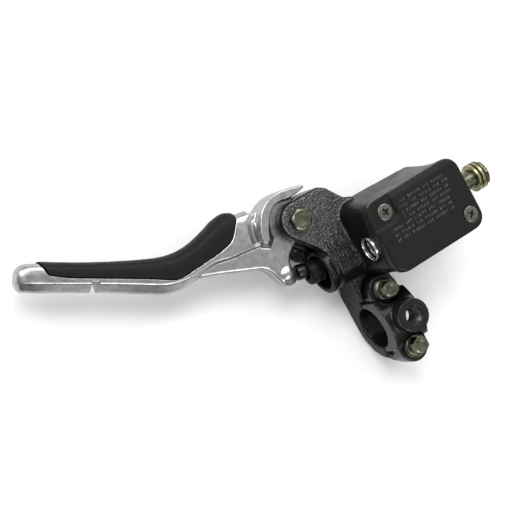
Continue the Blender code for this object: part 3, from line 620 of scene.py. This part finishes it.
def make_clamp_washer(side, material):
    node = "clamp_washer_" + side
    low, high = millimetre_box(node)
    middle = (low + high) / 2
    outer = rounded((high.x - low.x) / 2, low.z, high.z, 0.25)
    rings = [(low.z, BOLT_WASHER_R), *outer, (high.z, BOLT_WASHER_R)]
    washer = lathe("clamp_flat_washer_" + side, rings, at=(middle.x, middle.y, 0), hollow=True)
    place(washer, "root", "olive_zinc", material, node)


def make_mirror_thread(material):
    """The M10 thread in the mirror's hole, as a ridge wound up its wall."""
    high = millimetre_box("clamp_cap")[1]
    section = [(0.15, -0.55), (-0.5, -0.1), (-0.5, 0.1), (0.15, 0.55)]
    start, end = (high.z - depth for depth in MIRROR_THREAD)
    thread = wound("mirror_thread", section, MIRROR_HOLE_R, start, end, MIRROR_TURNS, MIRROR_STEPS,
                   "Z", (MIRROR_X, 0, 0))
    place(thread, "root", "black_paint", material)


def make_pivot_bolt(material):
    low, high = millimetre_box("pivot_bolt")
    middle = (low + high) / 2
    foot = high.z - PIVOT_HEAD
    shank = [(low.z, 0), (low.z, PIVOT_R - 0.6), (low.z + 0.6, PIVOT_R), (foot, PIVOT_R)]
    bearing = [(foot, FLAT_SHARE * PIVOT_FLATS)]
    rings = shank + bearing + hexagon_head(foot + 0.15, high.z, PIVOT_FLATS, WORN_CORNERS)
    bolt = lathe("pivot_screw", rings, at=(middle.x, middle.y, 0))
    place(bolt, "root", "olive_zinc", material, "pivot_bolt")


def make_pivot_nut(material):
    low, high = millimetre_box("pivot_nut")
    middle = (low + high) / 2
    flat = FLAT_SHARE * NUT_FLATS
    rings = [(high.z, NUT_BORE_R), (high.z, flat), hexagon(high.z - 0.15, NUT_FLATS),
             crown(low.z, NUT_FLATS, outwards=-1), (low.z, flat),
             (low.z, NUT_BORE_R + 0.45), (low.z + 0.45, NUT_BORE_R)]
    nut = lathe("pivot_lock_nut", rings, at=(middle.x, middle.y, 0), hollow=True)
    place(nut, "root", "olive_zinc", material, "pivot_nut")


def thread_rings(start, end, radius):
    """Rings of grooves a pitch apart, which stand for a thread on a turned shank."""
    rings = []
    for k in range(int((end - start) / THREAD_PITCH)):
        here = start + k * THREAD_PITCH
        rings += [(here, radius), *((here + along, radius - THREAD_DEPTH) for along in THREAD_FLOOR)]
    return rings


def cross_drill(y):
    """The tool that drills the hose bolt across, along Y."""
    drill = lathe("cross_hole", [(-8, 0), (-8, CROSS_HOLE_R), (8, CROSS_HOLE_R), (8, 0)], steps=24)
    move = Matrix.Translation(Vector((CROSS_HOLE_X, y, 0)) * MM)
    drill.data.transform(move @ Matrix.Rotation(math.pi / 2, 4, "X"))
    return drill


def make_hose_bolt(material):
    low, high = millimetre_box("banjo_bolt")
    y = (low.y + high.y) / 2
    flange = (high.z - low.z) / 2
    foot = high.x - HOSE_HEAD
    start, end = (low.x + distance for distance in HOSE_THREAD)
    bottom = low.x + HOSE_DRILL_DEPTH
    rings = [(bottom + 1, 0), (bottom, HOSE_DRILL_R), (low.x, HOSE_DRILL_R), (low.x, HOSE_R - 0.7),
             (low.x + 0.7, HOSE_R), *thread_rings(start, end, HOSE_R), (end + 0.3, HOSE_R), (foot, HOSE_R)]
    rings += [(foot, flange - 0.2), (foot + 0.1, flange - 0.05), (foot + 0.4, flange),
              (foot + 0.75, flange - 0.15), (foot + 1.2, flange - 1.0)]
    rings += hexagon_head(foot + 1.25, high.x, HOSE_FLATS)
    bolt = lathe("hose_bolt", rings, "X", (0, y, 0))
    combine(bolt, cross_drill(y), "DIFFERENCE")
    shade(bolt)
    place(bolt, "root", "olive_zinc", material, "banjo_bolt")


def make_hose_washers(material):
    for number in (1, 2):
        node = f"banjo_washer_{number}"
        low, high = millimetre_box(node)
        at = (0, (low.y + high.y) / 2, 0)
        outer = rounded((high.z - low.z) / 2, low.x, high.x, 0.3)
        rings = [(low.x, HOSE_WASHER_R), *outer, (high.x, HOSE_WASHER_R)]
        washer = lathe(f"hose_washer_{number}", rings, "X", at, hollow=True)
        place(washer, "root", "bronze", material, node)


# ---------------------------------------------------------------- sight glass


def sight_middle():
    low, high = millimetre_box("sight_glass_bezel")
    return (0, (low.y + high.y) / 2, (low.z + high.z) / 2)


def make_sight_ring(material):
    low, high = millimetre_box("sight_glass_bezel")
    outer = (high.y - low.y) / 2
    inner = outer - SIGHT_RING_WIDTH
    rings = [(high.x, inner), (high.x, outer - 0.1), (high.x - 0.1, outer), (low.x + 0.3, outer),
             (low.x + 0.08, outer - 0.12), (low.x, outer - 0.35), (low.x + 0.08, inner + 0.12),
             (low.x + 0.3, inner)]
    ring = lathe("sight_ring", rings, "X", sight_middle(), hollow=True)
    place(ring, "root", "steel", material, "sight_glass_bezel")


def make_sight_lens(material):
    low, high = millimetre_box("sight_glass_lens")
    radius = (high.y - low.y) / 2
    rings = [(high.x, 0), (high.x, radius), (low.x + 0.35, radius), (low.x + 0.2, radius - 0.4),
             (low.x + 0.05, 2.5), (low.x, 0)]
    lens = lathe("sight_lens", rings, "X", sight_middle())
    place(lens, "root", "glass", material, "sight_glass_lens")


def make_sight_star(material):
    """The ribbed plate that shows behind the lens."""
    front = millimetre_box("sight_glass_lens")[1].x + 0.15

    def ribbed(along, radius, height):
        return lambda angle: (along - height * max(0.0, math.cos(STAR_POINTS * angle)), radius)

    rings = [(front + 0.4, 0), (front + 0.4, STAR_R), ribbed(front + 0.15, STAR_R, 0.1),
             ribbed(front + 0.2, 3.2, 0.15), ribbed(front + 0.2, 1.6, 0.15), (front + 0.1, 1.2),
             (front, 0.8), (front, 0)]
    place(lathe("sight_star", rings, "X", sight_middle()), "root", "glass", material)


# ---------------------------------------------------------------- push rod, boot and return spring


def lean_by(piece, angle):
    """Turns a piece that was built along X to its place through the rod's ball seat."""
    seat = Vector(joint("push_rod_swing")["pos_m"])
    piece.data.transform(Matrix.Translation(seat) @ Matrix.Rotation(-angle, 4, "Z"))
    return piece


def make_push_rod(material):
    seat = joint("push_rod_swing")["pos_m"][0] / MM
    low = millimetre_box("push_rod")[0]
    reach = (seat - low.x - ROD_HEAD_R * math.sin(ROD_LEAN)) / math.cos(ROD_LEAN) + ROD_RIM
    turn = [BALL_END * k / BALL_STEPS for k in range(BALL_STEPS + 1)]
    ball = [(BALL_R * math.cos(a), BALL_R * math.sin(a)) for a in turn]
    neck = [(-12.5, 1.9), (-13, 2.5), (-23.9, 2.5), (-24.2, 3.6), (-24.4, 3.9), (-24.7, ROD_HEAD_R)]
    head = [(0.8 - reach, ROD_HEAD_R), (0.4 - reach, 3.85), (0.1 - reach, 3.4), (-reach, 2.6), (-reach, 0)]
    rod = lean_by(lathe("push_rod_turned", ball + neck + head, "X"), ROD_LEAN)
    place(rod, "push_rod", "black_steel", material, "push_rod")


def make_boot(material):
    outer = [(-23.4, 4.6), (-23.3, 5.2), (-22.95, 5.7), (-22.4, 6.0), (-17.9, 6.0), (-17.5, 5.85)]
    lip = [(-17.2, 5.4), (-16.4, 5.4), (-16.1, 5.75), (-15.7, 5.8), (-15.2, 5.6)]
    rings = [(-23.4, BOOT_BORE_R), *outer, *lip, (-15.2, BOOT_BORE_R)]
    boot = lean_by(lathe("rod_boot", rings, "X", hollow=True), BOOT_LEAN)
    place(boot, "push_rod", "rubber", material, "dust_boot")


def make_spring(material):
    """The return spring as a round wire."""
    low, high = millimetre_box("return_spring")
    middle = (low + high) / 2
    turn = [2 * math.pi * s / WIRE_SIDES for s in range(WIRE_SIDES)]
    section = [(WIRE_R * math.cos(a), WIRE_R * math.sin(a)) for a in turn]
    radius = (high.z - low.z) / 2 - WIRE_R
    spring = wound("piston_spring", section, radius, low.x + WIRE_R, high.x - WIRE_R, SPRING_TURNS,
                   SPRING_STEPS, "X", (0, middle.y, middle.z))
    place(spring, "root", "steel", material, "return_spring")
    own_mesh(spring)


def finish_cad_nodes(finishes):
    """Gives the CAD nodes that are shown as they are their procedural materials."""
    for node, material in finishes.items():
        for slot in frame["nodes"][node].material_slots:
            slot.material = material


# ---------------------------------------------------------------- studio


def make_camera():
    data = bpy.data.cameras.new("camera")
    data.lens = CAMERA_LENS
    camera = new_object("camera", data)
    right = Vector(CAMERA_RIGHT).normalized()
    back = right.cross(Vector(CAMERA_UP)).normalized()
    up = back.cross(right)
    turn = Matrix((right, up, back)).transposed().to_4x4()
    camera.matrix_world = Matrix.Translation(CAMERA_AT) @ turn
    bpy.context.scene.camera = camera


def make_floor():
    height = cad_box[0][2] - FLOOR_GAP
    corners = [(x * FLOOR_REACH, y * FLOOR_REACH, height) for x, y in ((-1, -1), (1, -1), (1, 1), (-1, 1))]
    mesh = bpy.data.meshes.new("floor")
    mesh.from_pydata(corners, [], [(0, 1, 2, 3)])
    floor = new_object("floor", mesh)
    finish = Finish("floor_paper", Base_Color=(0.9, 0.9, 0.9, 1), Roughness=0.9)
    floor.data.materials.append(finish.material)


def area_light(name, direction, distance, size, radiance):
    """A soft box that looks at the object from a direction, with its brightness set directly."""
    data = bpy.data.lights.new(name, "AREA")
    data.shape = "RECTANGLE"
    data.size, data.size_y = size
    data.energy = radiance * math.pi * size[0] * size[1]
    light = new_object(name, data)
    towards = Vector(direction).normalized()
    light.location = Vector(LIGHT_TARGET) + towards * distance
    light.rotation_euler = towards.to_track_quat("Z", "Y").to_euler()


def make_world():
    """Soft surroundings, brighter towards the front and darker towards the rear."""
    world = bpy.data.worlds.new("studio")
    world.use_nodes = True
    tree = world.node_tree
    background = tree.nodes["Background"]
    background.inputs["Color"].default_value = (1, 1, 1, 1)
    coordinates = tree.nodes.new("ShaderNodeTexCoord")
    lean = tree.nodes.new("ShaderNodeVectorMath")
    lean.operation = "DOT_PRODUCT"
    lean.inputs[1].default_value = Vector(WORLD_BRIGHT_SIDE).normalized()
    tree.links.new(coordinates.outputs["Generated"], lean.inputs[0])
    spread = tree.nodes.new("ShaderNodeMapRange")
    spread.interpolation_type = "SMOOTHSTEP"
    for socket, value in zip(("From Min", "From Max", "To Min", "To Max"), WORLD_REACH + WORLD_LEVELS):
        spread.inputs[socket].default_value = value
    tree.links.new(lean.outputs["Value"], spread.inputs["Value"])
    tree.links.new(spread.outputs["Result"], background.inputs["Strength"])
    bpy.context.scene.world = world


def make_studio():
    make_camera()
    make_floor()
    make_world()
    for light in LIGHTS:
        area_light(*light)
    bpy.context.scene.view_settings.view_transform = "Standard"


# ---------------------------------------------------------------- the whole scene


def make_fasteners(olive):
    make_lid_screws(metal("pale_zinc_plate", (0.125, 0.125, 0.108), (0.17, 0.17, 0.146), (0.3, 0.45)))
    dull = metal("dull_zinc_plate", (0.05, 0.05, 0.038), (0.085, 0.085, 0.062), (0.32, 0.46))
    for side in ("front", "rear"):
        make_clamp_bolt(side, olive)
        make_clamp_washer(side, dull)
    make_mirror_thread(metal("bare_thread", (0.2, 0.2, 0.195), (0.32, 0.32, 0.31)))
    make_pivot_bolt(olive)
    make_pivot_nut(olive)


def main():
    olive = metal("olive_zinc_plate", (0.1, 0.1, 0.077), (0.15, 0.15, 0.108))
    steel = metal("bright_steel", (0.45, 0.45, 0.44), (0.6, 0.6, 0.58), (0.18, 0.3))
    brass = metal("washer_brass", (0.26, 0.25, 0.13), (0.36, 0.34, 0.19))
    anodised = metal("anodised_aluminium", (0.42, 0.43, 0.45), (0.5, 0.51, 0.53), (0.25, 0.35))
    rubber = moulded_rubber("boot_rubber", 0.004)
    make_castings()
    make_lever()
    make_lid()
    make_pips()
    make_fasteners(olive)
    make_hose_bolt(olive)
    make_hose_washers(brass)
    make_sight_ring(steel)
    make_sight_lens(lens_glass())
    make_sight_star(star_plate())
    make_push_rod(metal("black_oxide", (0.025, 0.025, 0.024), (0.05, 0.05, 0.047), (0.3, 0.42)))
    make_boot(rubber)
    make_spring(steel)
    finish_cad_nodes({
        "diaphragm": rubber, "primary_cup": rubber, "secondary_cup": rubber, "sight_glass_seal": rubber,
        "diaphragm_plate": grey_plastic(), "splash_baffle": steel, "piston": anodised,
        "stop_washer": steel, "circlip": steel, "pivot_bush": brass,
    })
    make_studio()


main()
